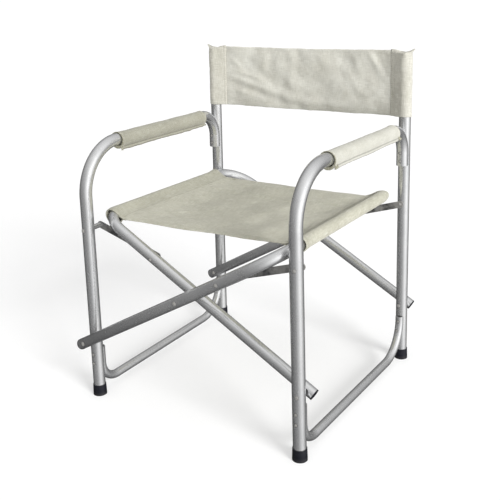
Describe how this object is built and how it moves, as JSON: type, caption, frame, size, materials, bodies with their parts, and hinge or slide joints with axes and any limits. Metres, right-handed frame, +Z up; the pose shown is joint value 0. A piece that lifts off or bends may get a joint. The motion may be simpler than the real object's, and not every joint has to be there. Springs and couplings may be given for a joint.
{
  "type": "folding camp chair",
  "caption": "Folding camp chair: two tubular side frames, crossed seat frames with struts, sewn canvas seat and back slings and sleeved arms.",
  "frame": {"origin": "floor level, at the middle of the overall footprint", "axes": "+Z up, +Y towards the back of the chair, +X to the right for someone facing the chair from the front"},
  "size_m": [0.5904, 0.6136, 0.7731],
  "materials": {
    "aluminium_tube": "satin anodised drawn tube",
    "rivet_steel": "plated rivet heads",
    "dark_steel": "dark grey lacquered strip",
    "black_plastic": "moulded black plastic",
    "cream_canvas": "woven cotton canvas, off-white",
    "seat_canvas": "woven cotton canvas, grey beige"
  },
  "bodies": {
    "right_side_frame": {"arm_leg_tube_right": "aluminium_tube", "back_post_right": "aluminium_tube", "stretcher_right": "aluminium_tube", "foot_cap_front_right": "black_plastic", "foot_cap_rear_right": "black_plastic", "post_plug_right": "black_plastic", "arm_sleeve_right": "cream_canvas", "arm_rivets_right": "rivet_steel", "stretcher_rivets_right": "rivet_steel", "lower_pivot_pins_right": "rivet_steel", "lower_pivot_spacers_right": "black_plastic", "strut_pivot_pins_right": "rivet_steel", "back_pocket_right": "cream_canvas", "back_panel": "cream_canvas"},
    "seat_frame_left": {"seat_frame_left_rail": "aluminium_tube", "tube_end_plugs_left_rail": "black_plastic", "crossing_pins": "rivet_steel", "crossing_spacers": "black_plastic", "strut_eye_rivets_left_rail": "rivet_steel", "seat_pocket_left": "seat_canvas", "seat_panel": "seat_canvas"},
    "seat_frame_right": {"seat_frame_right_rail": "aluminium_tube", "tube_end_plugs_right_rail": "black_plastic", "strut_eye_rivets_right_rail": "rivet_steel", "strut_eye_spacer_front_right": "black_plastic", "seat_pocket_right": "seat_canvas"},
    "left_side_frame": {"arm_leg_tube_left": "aluminium_tube", "back_post_left": "aluminium_tube", "stretcher_left": "aluminium_tube", "foot_cap_front_left": "black_plastic", "foot_cap_rear_left": "black_plastic", "post_plug_left": "black_plastic", "arm_sleeve_left": "cream_canvas", "arm_rivets_left": "rivet_steel", "stretcher_rivets_left": "rivet_steel", "lower_pivot_pins_left": "rivet_steel", "lower_pivot_spacers_left": "black_plastic", "strut_pivot_pins_left": "rivet_steel", "strut_spacer_front_left": "black_plastic", "back_pocket_left": "cream_canvas"},
    "strut_front_right_body": {"strut_front_right": "dark_steel", "strut_stub_front_right": "rivet_steel"},
    "strut_rear_right_body": {"strut_rear_right": "dark_steel", "strut_stub_rear_right": "rivet_steel"},
    "strut_front_left_body": {"strut_front_left": "dark_steel", "strut_stub_front_left": "rivet_steel"},
    "strut_rear_left_body": {"strut_rear_left": "dark_steel", "strut_stub_rear_left": "rivet_steel"}
  },
  "joints": [
    {"name": "fold", "type": "hinge", "parent": "right_side_frame", "child": "seat_frame_left", "pos_m": [0.272, 0, 0.144], "axis": [0, 1, 0], "range_deg": [0, 41], "deforming": ["seat_panel", "back_panel"]},
    {"name": "crossing", "type": "hinge", "parent": "seat_frame_left", "child": "seat_frame_right", "pos_m": [0, 0, 0.29789], "axis": [0, 1, 0], "range_deg": [-91.01, 0]},
    {"name": "left_frame", "type": "hinge", "parent": "seat_frame_right", "child": "left_side_frame", "pos_m": [-0.272, 0, 0.144], "axis": [0, 1, 0], "range_deg": [0, 41.01]},
    {"name": "strut_front_right_turn", "type": "hinge", "parent": "right_side_frame", "child": "strut_front_right_body", "pos_m": [0.2697, -0.2475, 0.408], "axis": [0, 1, 0], "range_deg": [0, 79.15]},
    {"name": "strut_rear_right_turn", "type": "hinge", "parent": "right_side_frame", "child": "strut_rear_right_body", "pos_m": [0.2697, 0.2475, 0.408], "axis": [0, 1, 0], "range_deg": [0, 79.15]},
    {"name": "strut_front_left_turn", "type": "hinge", "parent": "left_side_frame", "child": "strut_front_left_body", "pos_m": [-0.2697, -0.2195, 0.408], "axis": [0, 1, 0], "range_deg": [-79.15, 0]},
    {"name": "strut_rear_left_turn", "type": "hinge", "parent": "left_side_frame", "child": "strut_rear_left_body", "pos_m": [-0.2697, 0.2785, 0.408], "axis": [0, 1, 0], "range_deg": [-79.15, 0]}
  ],
  "couplings": [
    {"joint": "crossing", "follows": "fold", "ratio": -2.2195},
    {"joint": "left_frame", "follows": "fold", "ratio": 1},
    {"joint": "strut_front_right_turn", "follows": "fold", "ratio": 1.9302},
    {"joint": "strut_rear_right_turn", "follows": "fold", "ratio": 1.9302},
    {"joint": "strut_front_left_turn", "follows": "fold", "ratio": -1.9302},
    {"joint": "strut_rear_left_turn", "follows": "fold", "ratio": -1.9302}
  ]
}
